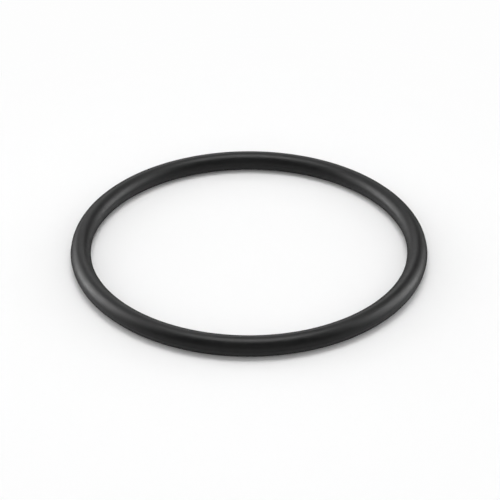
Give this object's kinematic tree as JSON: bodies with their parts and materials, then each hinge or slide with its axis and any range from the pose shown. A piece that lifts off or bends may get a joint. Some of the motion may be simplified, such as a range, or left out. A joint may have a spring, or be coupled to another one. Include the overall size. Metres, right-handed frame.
{
  "type": "rubber o-ring",
  "caption": "Moulded rubber O-ring of round section, shown free and unstretched. Squeezed in a groove, it seals a shaft, a bore or a bolted face against fluid.",
  "frame": {"origin": "centre of the ring: on its axis, halfway up the round section", "axes": "+Z along the ring's axis, away from the surface that it lies on; X and Y in the plane of the parting line"},
  "size_m": [0.0958, 0.0958, 0.0054],
  "materials": {
    "rubber": "satin"
  },
  "bodies": {
    "root": {"o_ring": "rubber"}
  },
  "joints": []
}
